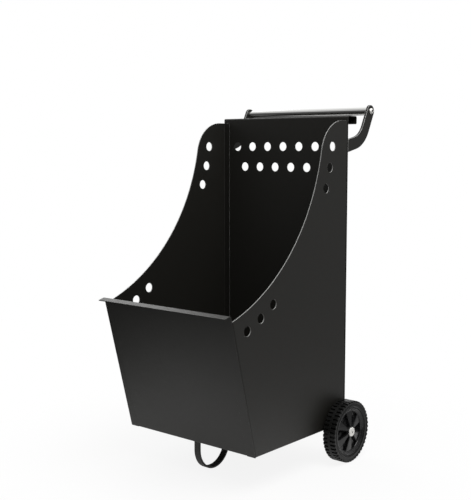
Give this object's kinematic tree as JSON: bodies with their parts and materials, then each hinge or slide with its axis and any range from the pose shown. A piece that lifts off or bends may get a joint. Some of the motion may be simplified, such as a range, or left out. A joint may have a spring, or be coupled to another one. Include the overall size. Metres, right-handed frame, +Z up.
{
  "type": "fireside log cart",
  "caption": "Folded-steel firewood cart with scooped sides, punched round holes, a round handle bar, rear wheels on an axle and a strap foot.",
  "frame": {"origin": "centre of the bounding box on the ground", "axes": "+Z up, -Y towards the low front lip, +Y towards the handle, +X to the right as seen from the front"},
  "size_m": [0.4888, 0.5818, 0.8873],
  "materials": {
    "powder_coat": "fine-textured satin black powder coat on folded sheet steel",
    "polished_steel": "polished stainless steel",
    "zinc_plated_steel": "bright zinc plate",
    "rim_plastic": "semi-gloss black moulded plastic",
    "tyre_rubber": "black solid rubber with moulded tread"
  },
  "bodies": {
    "cart": {"back_panel": "powder_coat", "front_panel": "powder_coat", "floor_panel": "powder_coat", "side_panel_right": "powder_coat", "side_panel_left": "powder_coat", "handle_arm_right": "powder_coat", "handle_arm_left": "powder_coat", "handle_bar": "polished_steel", "axle_tube": "powder_coat", "axle_rod": "zinc_plated_steel", "foot_strap": "powder_coat", "foot_bolt_front": "zinc_plated_steel", "foot_nut_front": "zinc_plated_steel", "foot_bolt_rear": "zinc_plated_steel", "foot_nut_rear": "zinc_plated_steel", "handle_insert_right": "zinc_plated_steel", "handle_screw_right": "zinc_plated_steel", "inner_washer_right": "zinc_plated_steel", "outer_washer_right": "zinc_plated_steel", "hub_cap_right": "polished_steel", "handle_insert_left": "zinc_plated_steel", "handle_screw_left": "zinc_plated_steel", "inner_washer_left": "zinc_plated_steel", "outer_washer_left": "zinc_plated_steel", "hub_cap_left": "polished_steel"},
    "left_wheel": {"wheel_rim_left": "rim_plastic", "tyre_left": "tyre_rubber"},
    "right_wheel": {"wheel_rim_right": "rim_plastic", "tyre_right": "tyre_rubber"}
  },
  "joints": [
    {"name": "left_wheel_spin", "type": "hinge", "parent": "cart", "child": "left_wheel", "pos_m": [-0.2239, 0.14366, 0.077], "axis": [1, 0, 0], "continuous": true},
    {"name": "right_wheel_spin", "type": "hinge", "parent": "cart", "child": "right_wheel", "pos_m": [0.2239, 0.14366, 0.077], "axis": [1, 0, 0], "continuous": true}
  ]
}
